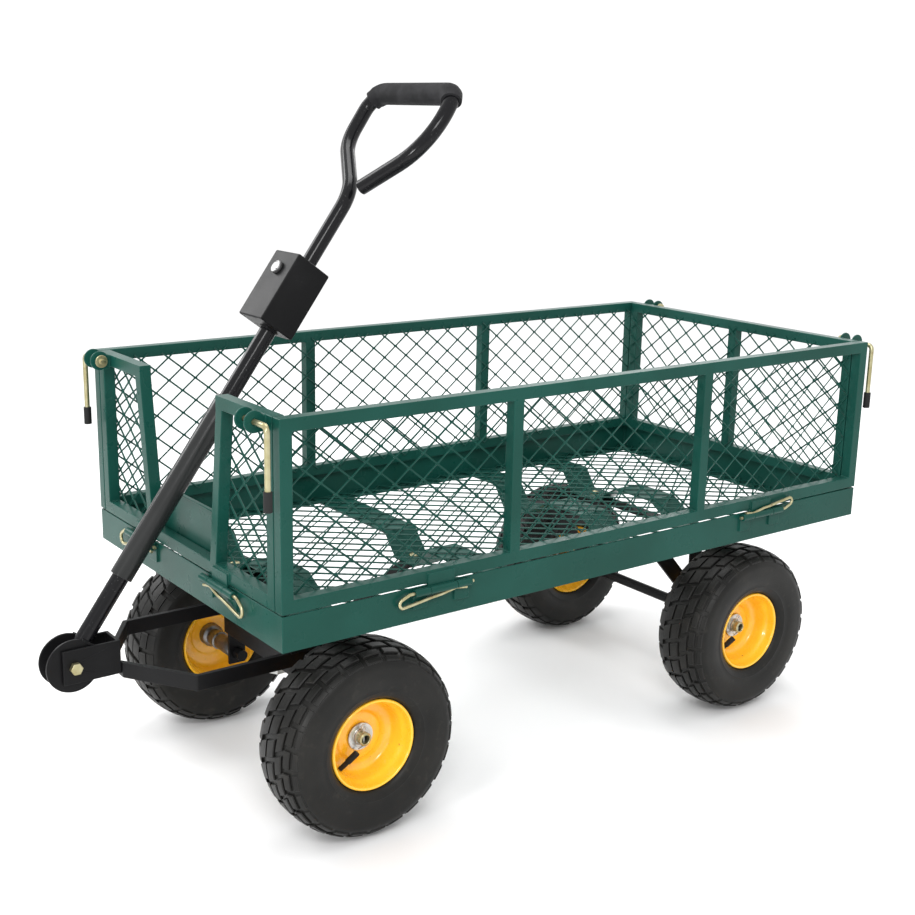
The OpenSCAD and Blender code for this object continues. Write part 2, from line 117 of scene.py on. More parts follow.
def add_area_light(name, place, target, size, power):
    data = bpy.data.lights.new(name, "AREA")
    data.shape, data.size, data.size_y, data.energy = "RECTANGLE", size[0], size[1], power
    lamp = bpy.data.objects.new(name, data)
    lamp.location = place
    lamp.rotation_mode = "QUATERNION"
    lamp.rotation_quaternion = (Vector(target) - Vector(place)).to_track_quat("-Z", "Y")
    bpy.context.scene.collection.objects.link(lamp)


def add_studio():
    scene = bpy.context.scene
    scene.view_settings.view_transform = "Standard"
    world = bpy.data.worlds.new("studio")
    world.use_nodes = True
    world.node_tree.nodes["Background"].inputs["Color"].default_value = (1, 1, 1, 1)
    world.node_tree.nodes["Background"].inputs["Strength"].default_value = 1.08
    scene.world = world
    middle = (0, 0, 0.3)
    add_area_light("key", (1.6, 2.2, 2.4), middle, (0.9, 0.7), 30)
    add_area_light("rim_spot", (2.3, 0.9, 0.9), middle, (0.3, 0.3), 12)
    add_area_light("top", (-0.2, -0.3, 3.0), middle, (1.6, 1.0), 24)
    add_area_light("back", (-2.4, -1.8, 2.0), middle, (1.2, 0.8), 16)
    add_area_light("softbox", (1.0, -1.6, 1.5), (0.4, 0, 0.5), (1.0, 1.0), 17)
    mesh = bpy.data.meshes.new("floor")
    reach = 40
    mesh.from_pydata([(-reach, -reach, 0), (reach, -reach, 0), (reach, reach, 0), (-reach, reach, 0)], [],
                     [(0, 1, 2, 3)])
    floor = bpy.data.objects.new("floor", mesh)
    scene.collection.objects.link(floor)
    mesh.materials.append(floor_material())
    floor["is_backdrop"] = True


# ---- Materials ----


def add_node(tree, kind, inputs=None, **settings):
    """Adds a shader node. An input's value is a number, a colour or another node's output."""
    made = tree.nodes.new("ShaderNode" + kind)
    for name, value in settings.items():
        setattr(made, name, value)
    for name, value in (inputs or {}).items():
        socket = made.inputs[name]
        if isinstance(value, bpy.types.NodeSocket):
            tree.links.new(value, socket)
        else:
            socket.default_value = value
    return made


def colour(rgb):
    return (*rgb, 1)


def noise(tree, place, scale, detail=3.0, roughness=0.55):
    found = add_node(tree, "TexNoise", {"Vector": place, "Scale": scale, "Detail": detail,
                                        "Roughness": roughness})
    return found.outputs["Fac"]


def ramp(tree, value, low, high):
    """0 below low, 1 above high, and smooth between them."""
    found = add_node(tree, "MapRange", {"Value": value, "From Min": low, "From Max": high},
                     interpolation_type="SMOOTHSTEP")
    return found.outputs["Result"]


def mix(tree, share, a, b):
    found = add_node(tree, "Mix", data_type="RGBA")
    for index, value in ((0, share), (6, a), (7, b)):
        socket = found.inputs[index]
        if isinstance(value, bpy.types.NodeSocket):
            tree.links.new(value, socket)
        else:
            socket.default_value = value
    return found.outputs[2]


def scaled(tree, value, low, high):
    """A 0 to 1 value spread from low to high."""
    found = add_node(tree, "MapRange", {"Value": value, "To Min": low, "To Max": high})
    return found.outputs["Result"]


def product(tree, a, b):
    return add_node(tree, "Math", {0: a, 1: b}, operation="MULTIPLY").outputs[0]


def scratches(tree, place, stretch, scale, width):
    """Thin broken lines along the axes that are stretched least."""
    mapped = add_node(tree, "Mapping", {"Vector": place, "Scale": stretch}).outputs[0]
    level = noise(tree, mapped, scale, 1.0)
    away = add_node(tree, "Math", {0: level, 1: 0.5}, operation="SUBTRACT").outputs[0]
    size = add_node(tree, "Math", {0: away}, operation="ABSOLUTE").outputs[0]
    line = add_node(tree, "MapRange", {"Value": size, "From Min": 0.0, "From Max": width, "To Min": 1.0,
                                       "To Max": 0.0}).outputs["Result"]
    patches = ramp(tree, noise(tree, place, 14.0), 0.56, 0.7)
    return product(tree, line, patches)


def turned_edges(tree, radius, low=0.01, high=0.12):
    """How far the surface turns within a small radius: high on outer edges and in corners."""
    rounded = add_node(tree, "Bevel", {"Radius": radius}, samples=4).outputs[0]
    plain = add_node(tree, "NewGeometry").outputs["Normal"]
    along = add_node(tree, "VectorMath", {0: rounded, 1: plain}, operation="DOT_PRODUCT").outputs["Value"]
    turn = add_node(tree, "Math", {0: 1.0, 1: along}, operation="SUBTRACT").outputs[0]
    return ramp(tree, turn, low, high)


def begin(name):
    material = bpy.data.materials.new(name)
    material.use_nodes = True
    tree = material.node_tree
    shader = tree.nodes["Principled BSDF"]
    place = add_node(tree, "TexCoord").outputs["Object"]
    return material, tree, shader, place


def finish_shader(tree, shader, base, roughness, height=None, depth=0.0002, strength=0.5):
    tree.links.new(base, shader.inputs["Base Color"])
    tree.links.new(roughness, shader.inputs["Roughness"])
    if height is not None:
        bump = add_node(tree, "Bump", {"Height": height, "Strength": strength, "Distance": depth})
        tree.links.new(bump.outputs[0], shader.inputs["Normal"])


def floor_material():
    material, tree, shader, place = begin("floor")
    base = mix(tree, noise(tree, place, 3.0), colour((0.93, 0.93, 0.93)), colour((0.95, 0.95, 0.95)))
    shader.inputs["Specular IOR Level"].default_value = 0.2
    finish_shader(tree, shader, base, scaled(tree, noise(tree, place, 60.0), 0.75, 0.85))
    return material


def coat_material(name, dark, light, edge, top_light, rough, grain, depth, edge_lightening=0.55, specular=0.5):
    """Powder coat: broad unevenness, a fine orange peel, lighter edges that are partly painted highlight and
    partly wear, painted top light on upward faces, and scratches.
    """
    material, tree, shader, place = begin(name)
    base = mix(tree, ramp(tree, noise(tree, place, 7.0), 0.35, 0.65), colour(dark), colour(light))
    # Lighter edges, partly painted highlight and partly wear; the edge colour also tints the scratches below.
    edges = product(tree, turned_edges(tree, 1.1 * MM), scaled(tree, noise(tree, place, 45.0), 0.1, edge_lightening))
    base = mix(tree, edges, base, colour(edge))
    # Painted top light: upward faces are painted paler, in noisy patches.
    normal = add_node(tree, "SeparateXYZ", {0: add_node(tree, "NewGeometry").outputs["Normal"]}).outputs["Z"]
    level = product(tree, ramp(tree, normal, 0.5, 1.0), scaled(tree, noise(tree, place, 25.0), 0.05, 0.35))
    base = mix(tree, level, base, colour(top_light))
    marks = scratches(tree, place, (1.0, 1.0, 16.0), 22.0, 0.006)
    base = mix(tree, scaled(tree, marks, 0.0, 0.4), base, colour(edge))
    peel = noise(tree, place, grain, 2.0)
    shader.inputs["Specular IOR Level"].default_value = specular
    roughness = scaled(tree, noise(tree, place, 30.0), rough - 0.06, rough + 0.08)
    finish_shader(tree, shader, base, roughness, peel, depth)
    return material


def gloss_material():
    """Gloss black paint on tube: nearly mirror-like, with slight ripples, dust and hairline scuffs."""
    material, tree, shader, place = begin("black_gloss")
    base = mix(tree, ramp(tree, noise(tree, place, 420.0, 2.0), 0.66, 0.74), colour((0.006, 0.006, 0.007)),
               colour((0.05, 0.05, 0.05)))
    marks = scratches(tree, place, (1.0, 14.0, 1.0), 40.0, 0.008)
    base = mix(tree, scaled(tree, marks, 0.0, 0.35), base, colour((0.12, 0.12, 0.12)))
    shader.inputs["Specular IOR Level"].default_value = 0.2
    finish_shader(tree, shader, base, scaled(tree, noise(tree, place, 35.0), 0.09, 0.2),
                  noise(tree, place, 160.0, 1.0), 0.00012, 0.35)
    return material


def foam_material():
    """Closed-cell foam: dull, with fine pores and rubbed paler patches."""
    material, tree, shader, place = begin("foam")
    pores = add_node(tree, "TexVoronoi", {"Vector": place, "Scale": 1300.0}).outputs["Distance"]
    base = mix(tree, ramp(tree, noise(tree, place, 38.0), 0.4, 0.7), colour((0.011, 0.011, 0.012)),
               colour((0.022, 0.022, 0.024)))
    shader.inputs["Specular IOR Level"].default_value = 0.15
    finish_shader(tree, shader, base, scaled(tree, noise(tree, place, 200.0), 0.62, 0.8), pores, 0.0003)
    return material


def plated_material(name, a, b, tarnish, rough):
    """Zinc plate: cloudy colour, a fine drawn grain and dull tarnish."""
    material, tree, shader, place = begin(name)
    base = mix(tree, ramp(tree, noise(tree, place, 60.0, 4.0), 0.35, 0.65), colour(a), colour(b))
    base = mix(tree, ramp(tree, noise(tree, place, 130.0, 5.0), 0.58, 0.74), base, colour(tarnish))
    shader.inputs["Metallic"].default_value = 0.85
    finish_shader(tree, shader, base, scaled(tree, noise(tree, place, 240.0), rough - 0.08, rough + 0.12),
                  noise(tree, place, 900.0, 2.0), 0.0001, 0.35)
    return material


def tyre_material():
    """Tyre rubber: near black with a brown cast, paler dusty patches, paler block edges that are partly scuffing
    and partly painted highlight, and fine mould grain.
    """
    material, tree, shader, place = begin("tyre_rubber")
    base = mix(tree, ramp(tree, noise(tree, place, 16.0, 4.0), 0.35, 0.7), colour((0.006, 0.006, 0.0055)),
               colour((0.012, 0.0115, 0.01)))
    dusty = ramp(tree, noise(tree, place, 90.0, 5.0), 0.56, 0.75)
    base = mix(tree, scaled(tree, dusty, 0.0, 0.3), base, colour((0.04, 0.036, 0.03)))
    # Paler block edges: partly scuffing, partly painted highlight.
    edges = product(tree, turned_edges(tree, 1.0 * MM), scaled(tree, noise(tree, place, 60.0), 0.1, 0.5))
    base = mix(tree, edges, base, colour((0.06, 0.06, 0.06)))
    shader.inputs["Specular IOR Level"].default_value = 0.22
    finish_shader(tree, shader, base, scaled(tree, noise(tree, place, 45.0), 0.34, 0.5),
                  noise(tree, place, 500.0, 3.0), 0.00025)
    return material


def rim_material():
    """Gloss yellow enamel, warmer where it is thick, with dark specks and a darker brown-orange round the steps
    and edges.
    """
    material, tree, shader, place = begin("rim_enamel")
    base = mix(tree, ramp(tree, noise(tree, place, 18.0), 0.35, 0.65), colour((0.95, 0.47, 0.018)),
               colour((1.0, 0.54, 0.03)))
    specks = ramp(tree, noise(tree, place, 170.0, 2.0), 0.74, 0.78)
    base = mix(tree, specks, base, colour((0.1, 0.05, 0.02)))
    # Darker brown-orange at the steps and edges of the rim.
    step_darkening = product(tree, turned_edges(tree, 1.6 * MM), scaled(tree, noise(tree, place, 60.0), 0.0, 0.25))
    base = mix(tree, step_darkening, base, colour((0.45, 0.2, 0.02)))
    shader.inputs["Coat Weight"].default_value = 0.4
    shader.inputs["Coat Roughness"].default_value = 0.08
    finish_shader(tree, shader, base, scaled(tree, noise(tree, place, 60.0), 0.2, 0.34),
                  noise(tree, place, 220.0, 1.0), 0.0001, 0.4)
    return material


# Each coat's colours are its dark and light tones, its edge and scratch colour (the edges partly painted
# highlight) and the paler colour of its painted top light.
GREEN = coat_material("green_coat", (0.0055, 0.052, 0.039), (0.0075, 0.065, 0.05), (0.03, 0.15, 0.12),
                      (0.03, 0.11, 0.09), 0.28, 520.0, 0.00022, 0.55, 0.15)
WIRE_GREEN = coat_material("green_wire", (0.005, 0.045, 0.034), (0.008, 0.06, 0.046), (0.02, 0.11, 0.085),
                           (0.02, 0.08, 0.065), 0.32, 600.0, 0.00015, 0.55, 0.15)
BLACK = coat_material("black_coat", (0.005, 0.005, 0.0055), (0.009, 0.009, 0.0095), (0.05, 0.05, 0.052),
                      (0.035, 0.035, 0.036), 0.36, 900.0, 0.0003, 0.4, 0.12)
SLEEVE = coat_material("sleeve", (0.014, 0.015, 0.015), (0.019, 0.02, 0.02), (0.05, 0.05, 0.05),
                       (0.04, 0.042, 0.042), 0.22, 700.0, 0.0001, 0.2, 0.3)
GLOSS = gloss_material()
FOAM = foam_material()
ZINC = plated_material("zinc", (0.42, 0.43, 0.42), (0.6, 0.6, 0.58), (0.2, 0.19, 0.18), 0.3)
DULL_ZINC = plated_material("dull_zinc", (0.16, 0.16, 0.16), (0.25, 0.25, 0.25), (0.08, 0.08, 0.08), 0.3)
GOLD_ZINC = plated_material("gold_zinc", (0.38, 0.34, 0.18), (0.48, 0.45, 0.28), (0.27, 0.19, 0.1), 0.3)
TYRE = tyre_material()
RIM = rim_material()
# As above, the last two colours are the edge colour and the painted top light.
CAP = coat_material("rubber_cap", (0.012, 0.012, 0.012), (0.02, 0.02, 0.02), (0.04, 0.04, 0.04),
                    (0.05, 0.05, 0.05), 0.55, 800.0, 0.0003, 0.4, 0.15)
# Near-black paint for the discs of painted shade down in the axle ends.
BORE_SHADE = coat_material("painted_bore_shade", (0.004, 0.004, 0.004), (0.008, 0.007, 0.006), (0.05, 0.04, 0.03),
                     (0.02, 0.02, 0.02), 0.7, 500.0, 0.0003, 0.3, 0.1)


# ---- Mesh helpers ----


class Shape:
    """A mesh under construction: parts are added one at a time, then made into one piece."""

    def __init__(self):
        self.verts, self.faces = [], []

    def add(self, verts, faces):
        start = len(self.verts)
        self.verts += [Vector(v) for v in verts]
        self.faces += [[start + i for i in face] for face in faces]

    def loft(self, rings, closed=False):
        """Skins a list of loops with the same count. Ends are capped unless the list closes on itself."""
        count = len(rings[0])
        faces = []
        for k in range(len(rings) - (0 if closed else 1)):
            a, b = k * count, (k + 1) % len(rings) * count
            for i in range(count):
                j = (i + 1) % count
                faces.append((a + i, a + j, b + j, b + i))
        if not closed:
            faces.append(tuple(range(count))[::-1])
            faces.append(tuple(range((len(rings) - 1) * count, len(rings) * count)))
        self.add([v for ring in rings for v in ring], faces)

    def lathe(self, profile, centre, side, segments):
        """Turns a closed profile of (radius, outward y) about an axle line through centre."""
        rings = []
        for k in range(segments):
            angle = 2 * math.pi * k / segments
            c, s = math.cos(angle), math.sin(angle)
            rings.append([centre + Vector((r * c, side * y, r * s)) for r, y in profile])
        self.loft(rings, closed=True)

    def tube(self, path, radius, sides=16):
        """A round bar along a path. The radius is one number, or a function of how far along it is."""
        rings = []
        normal = None
        for k, point in enumerate(path):
            before, after = path[max(k - 1, 0)], path[min(k + 1, len(path) - 1)]
            along = (after - before).normalized()
            if normal is None:
                normal = along.cross(UP if abs(along.z) < 0.9 else Vector((1, 0, 0)))
            normal = (normal - along * normal.dot(along)).normalized()
            other = along.cross(normal)
            r = radius(k / (len(path) - 1)) if callable(radius) else radius
            rings.append([point + r * (math.cos(a) * normal + math.sin(a) * other)
                          for a in (2 * math.pi * i / sides for i in range(sides))])
        self.loft(rings)

    def box(self, centre, axes, size):
        """A box from its centre, three unit axes and its three sizes."""
        corners = []
        for i in (-0.5, 0.5):
            for j in (-0.5, 0.5):
                for k in (-0.5, 0.5):
                    corners.append(centre + axes[0] * i * size[0] + axes[1] * j * size[1]
                                   + axes[2] * k * size[2])
        faces = [(0, 1, 3, 2), (4, 6, 7, 5), (0, 4, 5, 1), (2, 3, 7, 6), (0, 2, 6, 4), (1, 5, 7, 3)]
        self.add(corners, faces)

    def piece(self, name, body, material, slot, replaces=(), smooth_angle=35):
        mesh = bpy.data.meshes.new(name)
        mesh.from_pydata([tuple(v) for v in self.verts], [], self.faces)
        work = bmesh.new()
        work.from_mesh(mesh)
        bmesh.ops.recalc_face_normals(work, faces=work.faces)
        limit = math.radians(smooth_angle)
        for edge in work.edges:
            edge.smooth = len(edge.link_faces) == 2 and edge.calc_face_angle(0) < limit
        for face in work.faces:
            face.smooth = True
        work.to_mesh(mesh)
        work.free()
        mesh.materials.append(material)
        obj = bpy.data.objects.new(name, mesh)
        bpy.context.scene.collection.objects.link(obj)
        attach(obj, body)
        if replaces:
            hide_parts(*replaces)
        return obj


def rounded_path(points, radii, steps=8):
    """A route of straight stretches through points, with an arc of the given radius at each inner one."""
    points = [Vector(p) for p in points]
    path = [points[0]]
    for i in range(1, len(points) - 1):
        to_last = (points[i - 1] - points[i]).normalized()
        to_next = (points[i + 1] - points[i]).normalized()
        half = to_last.angle(to_next) / 2
        radius = radii[i - 1] if isinstance(radii, (list, tuple)) else radii
        reach = radius / math.tan(half)
        start, end = points[i] + to_last * reach, points[i] + to_next * reach
        centre = points[i] + (to_last + to_next).normalized() * (radius / math.sin(half))
        for k in range(steps + 1):
            t = k / steps
            path.append(centre + (start - centre).normalized().slerp((end - centre).normalized(), t) * radius)
    path.append(points[-1])
    return path


def dressed(node, material, bevel, angle=30, segments=2):
    """A CAD node that stays as it is: its edges are broken by a small bevel and it gets its material."""
    obj = NODES[node]
    obj.data.materials.clear()
    obj.data.materials.append(material)
    weld = obj.modifiers.new("weld", "WELD")
    weld.merge_threshold = 1e-5
    if bevel:
        soft = obj.modifiers.new("bevel", "BEVEL")
        soft.width, soft.segments = bevel * MM, segments
        soft.limit_method, soft.angle_limit = "ANGLE", math.radians(angle)
        soft.use_clamp_overlap = False
        soft.harden_normals = False
    even = obj.modifiers.new("normals", "WEIGHTED_NORMAL")
    even.mode, even.weight = "FACE_AREA", 60


def weld_bead(shape, start, end, radius=1.7 * MM, ripple=2.6 * MM):
    """A rippled bead of weld between two points."""
    start, end = Vector(start), Vector(end)
    length = (end - start).length
    count = max(6, int(length / ripple * 4))
    path = [start.lerp(end, k / count) for k in range(count + 1)]
    phase = random.uniform(0, 6)
    waves = length / ripple * 2 * math.pi
    shape.tube(path, lambda t: radius * (0.82 + 0.18 * math.sin(phase + t * waves)), 8)


# ---- Tyres, rims and axles ----

CARCASS_R = 123.2
CARCASS_HALF = 46.6
SHOULDER_R = 97.5
PITCHES = 26
# Rows of tread blocks: where each starts and ends along the tread from the crown's middle, how much of the
# pitch a block fills, its height, its shift in pitches and its skew in pitches
TREAD_ROWS = (
    (-7.5, 7.5, 0.78, 3.5, 0.0, 0.22),
    (11.0, 22.5, 0.78, 3.5, 0.5, 0.2),
    (25.5, 35.0, 0.78, 3.2, 0.0, 0.0),
    (38.0, 45.5, 0.78, 1.8, 0.0, 0.0),
)


def carcass_half(power=0.62, count=26):
    """Half of the tyre's outline as (radius, y), from the crown's middle down to the bead."""
    points = []
    for k in range(count + 1):
        a = math.pi / 2 * (1 - k / count)
        points.append((SHOULDER_R + (CARCASS_R - SHOULDER_R) * math.sin(a) ** power,
                       CARCASS_HALF * math.cos(a)))
    wall = ((93.0, 46.9), (86.0, 46.4), (79.0, 45.2), (73.5, 43.6), (72.2, 43.9), (70.8, 43.4), (66.5, 41.6),
            (63.4, 39.4), (61.4, 36.6), (60.2, 33.0), (57.0, 31.0))
    return points + list(wall)


def along_outline(points, distance):
    """Place and outward normal at a distance along an outline of (radius, y)."""
    for (r0, y0), (r1, y1) in zip(points, points[1:]):
        step = math.hypot(r1 - r0, y1 - y0)
        if distance <= step:
            t = distance / step
            return (r0 + (r1 - r0) * t, y0 + (y1 - y0) * t), ((y1 - y0) / step, (r0 - r1) / step)
        distance -= step
    raise ValueError("the tread is wider than the tyre")


def tread_point(outline, u, turn, height):
    """A point over the carcass: u along the tread from the crown, and a turn about the axle."""
    (r, y), (nr, ny) = along_outline(outline, abs(u))
    side = 1 if u >= 0 else -1
    r, y = r + nr * height, side * (y + ny * height)
    return Vector((r * math.cos(turn), y, r * math.sin(turn))) * MM


def add_block(shape, outline, place, u0, u1, turn0, turn1, height, skew):
    """One tread block: it follows the carcass, with a chamfer round its top."""
    across, around = 3, 4
    chamfer = 1.1

    def point(i, j, level, inset):
        u = u0 + (u1 - u0) * i / across
        u += inset * (1 if i == 0 else -1 if i == across else 0)
        turn = turn0 + (turn1 - turn0) * j / around + skew * (u - u0) / (u1 - u0)
        turn += inset / CARCASS_R * (1 if j == 0 else -1 if j == around else 0)
        return place(tread_point(outline, u, turn, level))

    rim = ([(i, 0) for i in range(across)] + [(across, j) for j in range(around)]
           + [(i, around) for i in range(across, 0, -1)] + [(0, j) for j in range(around, 0, -1)])
    grid = [point(i, j, height, chamfer) for i in range(across + 1) for j in range(around + 1)]
    low = [point(i, j, -1.5, 0) for i, j in rim]
    shoulder = [point(i, j, height - chamfer, 0) for i, j in rim]
    verts = grid + shoulder + low
    index = {(i, j): i * (around + 1) + j for i in range(across + 1) for j in range(around + 1)}
    faces = [(index[i, j], index[i + 1, j], index[i + 1, j + 1], index[i, j + 1])
             for i in range(across) for j in range(around)]
    n, base = len(rim), len(grid)
    for k in range(n):
        m = (k + 1) % n
        faces.append((index[rim[k]], index[rim[m]], base + m, base + k))
        faces.append((base + k, base + m, base + n + m, base + n + k))
    faces.append(tuple(base + n + k for k in range(n)))
    shape.add(verts, faces)


def make_tyre(wheel, centre, side, body):
    outline = carcass_half()
    inner = [(r - 4, y * 0.86) for r, y in outline if r > 62]
    loop = outline + [(59.0, 28.0)] + inner[::-1]
    loop = loop + [(r, -y) for r, y in loop[::-1] if y > 1e-6]
    shape = Shape()
    shape.lathe([(r * MM, y * MM) for r, y in loop], centre, side, 144)
    pitch = 2 * math.pi / PITCHES

    def place(point):
        return centre + Vector((point.x, side * point.y, point.z))

    for u0, u1, share, height, shift, skew in TREAD_ROWS:
        mirrored = (1,) if u0 < 0 else (1, -1)
        for hand in mirrored:
            for k in range(PITCHES):
                turn = (k + shift + (0.5 if hand < 0 else 0)) * pitch
                add_block(shape, outline, place, hand * u0, hand * u1, turn, turn + share * pitch, height,
                          hand * skew * pitch)
    shape.piece("tyre_rubber_" + wheel, body, TYRE, "tyre", ("tyre_" + wheel,), 32)


# The rim's section as (radius, outward y) in millimetres: its face from the lip in to the bore, then its
# back from the bore out to the lip
RIM_FACE = (
    (59.9, 34.8), (59.7, 36.4), (58.8, 37.5), (57.6, 37.8), (56.5, 37.3), (55.8, 36.0), (55.3, 33.4),
    (54.9, 30.0), (54.2, 27.0), (52.9, 24.2), (51.4, 21.5), (50.6, 18.6), (50.0, 14.0), (49.2, 10.0),
    (48.0, 6.0), (46.2, 3.2), (43.5, 1.4), (40.0, 0.5), (34.5, 0.5), (32.4, 1.1), (31.0, 2.6), (29.0, 3.1),
    (21.0, 3.1), (17.1, 3.1),
)
RIM_BACK = (
    (17.1, 1.3), (29.0, 1.2), (30.6, 0.2), (32.4, -1.6), (43.5, -1.8), (47.0, -4.0), (49.5, -9.0),
    (50.4, -18.0), (52.9, -24.2), (54.9, -30.0), (55.8, -36.0), (57.6, -37.8), (59.7, -36.4), (59.9, -34.8),
    (58.2, -35.0), (57.2, -30.0), (55.4, -24.0), (52.6, -17.0), (51.9, 0.0), (52.4, 17.0), (53.6, 22.0),
    (55.6, 26.0), (56.8, 30.0), (57.6, 34.2),
)


def make_rim(wheel, centre, side, body):
    shape = Shape()
    shape.lathe([(r * MM, y * MM) for r, y in RIM_FACE + RIM_BACK], centre, side, 128)
    shape.piece("rim_enamel_" + wheel, body, RIM, "rim_yellow", ("rim_" + wheel,), 60)


# Where the front axle's stubs start, beside the middle
FRONT_STUB = 102.0


def make_axle(end, body, inner):
    """Axle rod from a distance beside the middle, with hollow ends, a near-black disc of painted shade down in
    each end, washers, collars and cotter pins.
    """
    node = end + "_axle"
    low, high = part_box(node)
    centre = (low + high) / 2
    reach = high.y / MM
    rod, ends, washers, bore_shades = Shape(), Shape(), Shape(), Shape()
    for side in (1, -1):
        bar = ((8.0, inner), (8.0, 205.0), (0.5, 205.0), (0.5, inner))
        rod.lathe([(r * MM, y * MM) for r, y in bar], centre, side, 32)
        tip = ((8.6, 203.0), (8.6, reach - 1.6), (7.0, reach - 0.3), (6.2, reach - 0.3), (5.5, reach - 1.2),
               (5.5, reach - 9.0), (5.0, 203.0))
        ends.lathe([(r * MM, y * MM) for r, y in tip], centre, side, 48)
        # A near-black disc down in the hollow end: painted shade in the bore.
        plug = ((5.5, reach - 9.0), (5.5, reach - 7.0), (0.2, reach - 7.0), (0.2, reach - 9.0))
        bore_shades.lathe([(r * MM, y * MM) for r, y in plug], centre, side, 32)
        disc = ((8.7, 209.2), (18.0, 209.2), (18.2, 209.8), (17.8, 210.6), (13.6, 210.6), (13.2, 210.2),
                (11.4, 210.2), (11.0, 210.6), (8.7, 210.6))
        washers.lathe([(r * MM, y * MM) for r, y in disc], centre, side, 64)
        collar = ((8.7, 210.8), (9.8, 210.8), (10.2, 211.3), (10.2, 212.6), (9.8, 213.2), (8.7, 213.2))
        washers.lathe([(r * MM, y * MM) for r, y in collar], centre, side, 48)
        y = side * 217.0 * MM
        pin = [centre + Vector((x * MM, y, z * MM)) for x, z in ((0, 14), (0, 9), (0, 0), (0, -9), (3, -12),
                                                               (7, -12.5))]
        washers.tube(pin, 1.3 * MM, 10)
        loop = [centre + Vector((2.4 * MM * math.sin(a), y, (15.5 + 2.6 * math.cos(a)) * MM))
                for a in (2 * math.pi * k / 14 for k in range(15))]
        washers.tube(loop, 1.1 * MM, 8)
    rod.piece(end + "_axle_rod", body, BLACK, "black_coat", (node,), 35)
    ends.piece(end + "_axle_ends", body, GOLD_ZINC, "gold_zinc")
    washers.piece(end + "_axle_washers", body, ZINC, "zinc")
    bore_shades.piece(end + "_axle_bores", body, BORE_SHADE, "zinc")


def make_hub(wheel, centre, side, body):
    """Hub tube that steps down from the bearing seat in the rim to a slimmer spacer at the bracket."""
    low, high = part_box("hub_" + wheel)
    inner = (min(abs(low.y), abs(high.y)) - abs(centre.y)) / MM
    outer = (max(abs(low.y), abs(high.y)) - abs(centre.y)) / MM
    profile = ((8.1, inner), (11.0, inner), (11.6, inner + 0.8), (11.6, -34.0), (13.4, -33.0), (13.4, -24.0),
               (11.6, -23.0), (11.6, -12.0), (16.0, -10.0), (16.8, -9.0), (16.8, outer - 0.6),
               (16.2, outer), (8.1, outer))
    shape = Shape()
    shape.lathe([(r * MM, y * MM) for r, y in profile], centre, side, 64)
    shape.piece("hub_tube_" + wheel, body, DULL_ZINC, "zinc", ("hub_" + wheel,), 40)


def make_wheels():
    for wheel in WHEELS:
        centre = pivot("wheel_%s_spin" % wheel)
        side = 1 if centre.y > 0 else -1
        body = "wheel_" + wheel
        make_tyre(wheel, centre, side, body)
        make_rim(wheel, centre, side, body)
        dressed("valve_" + wheel, CAP, 1.0)
        make_hub(wheel, centre, side, body)
    make_axle("front", "front_axle", FRONT_STUB)
    make_axle("rear", "bed", 0.0)


# ---- Wire mesh ----

DIAMOND_LONG = 41 * MM
DIAMOND_SHORT = 33 * MM
STRAND_W = 2.2 * MM
STRAND_T = 1.3 * MM


def clip_line(point, direction, outline):
    """The stretch of a line inside a convex outline, as two distances along it, or None."""
    low, high = -1e9, 1e9
    for k, a in enumerate(outline):
        b = outline[(k + 1) % len(outline)]
        inward = Vector((a.y - b.y, b.x - a.x))
        rate = inward.dot(direction)
        height = inward.dot(point - a)
        if abs(rate) < 1e-12:
            if height < 0:
                return None
        elif rate > 0:
            low = max(low, -height / rate)
        else:
            high = min(high, -height / rate)
    return (low, high) if high - low > 3 * MM else None


def make_mesh(name, body, node, outline, place, u_axis, v_axis):
    """Expanded-metal diamonds inside a convex outline of (u, v), anticlockwise, with flat bonds at each
    crossing. place turns a (u, v) point into one in the frame."""
    outline = [Vector(p) for p in outline]
    normal = u_axis.cross(v_axis)
    lows = [min(p[i] for p in outline) for i in (0, 1)]
    highs = [max(p[i] for p in outline) for i in (0, 1)]
    shape = Shape()
    for hand, tilt in ((1, 32), (-1, -32)):
        direction = Vector((DIAMOND_LONG, hand * DIAMOND_SHORT)).normalized()
        along = (u_axis * direction.x + v_axis * direction.y).normalized()
        flat = normal.cross(along)
        c, s = math.cos(math.radians(tilt)), math.sin(math.radians(tilt))
        axes = (along, flat * c + normal * s, normal * c - flat * s)
        spread = (highs[1] - lows[1]) * DIAMOND_LONG / DIAMOND_SHORT
        start = math.floor((lows[0] - spread) / DIAMOND_LONG)
        for k in range(start, math.ceil((highs[0] + spread) / DIAMOND_LONG) + 1):
            found = clip_line(Vector((k * DIAMOND_LONG, lows[1])), direction, outline)
            if found:
                a, b = (Vector((k * DIAMOND_LONG, lows[1])) + direction * t for t in found)
                shape.box((place(a) + place(b)) / 2, axes, ((b - a).length, STRAND_W, STRAND_T))
    rows = int((highs[1] - lows[1]) / (DIAMOND_SHORT / 2)) + 1
    first = math.floor(lows[0] / (DIAMOND_LONG / 2)) - 1
    for j in range(rows + 1):
        for i in range(first, math.ceil(highs[0] / (DIAMOND_LONG / 2)) + 2):
            point = Vector((i * DIAMOND_LONG / 2, lows[1] + j * DIAMOND_SHORT / 2))
            if (i + j) % 2 == 0 and inside(point, outline, 2 * MM):
                add_bond(shape, place(point), u_axis, v_axis, normal)
    shape.piece(name, body, WIRE_GREEN, "green_coat", (node,), 20)


def inside(point, outline, margin):
    for k, a in enumerate(outline):
        edge = outline[(k + 1) % len(outline)] - a
        inward = Vector((-edge.y, edge.x)).normalized()
        if inward.dot(point - a) < margin:
            return False
    return True


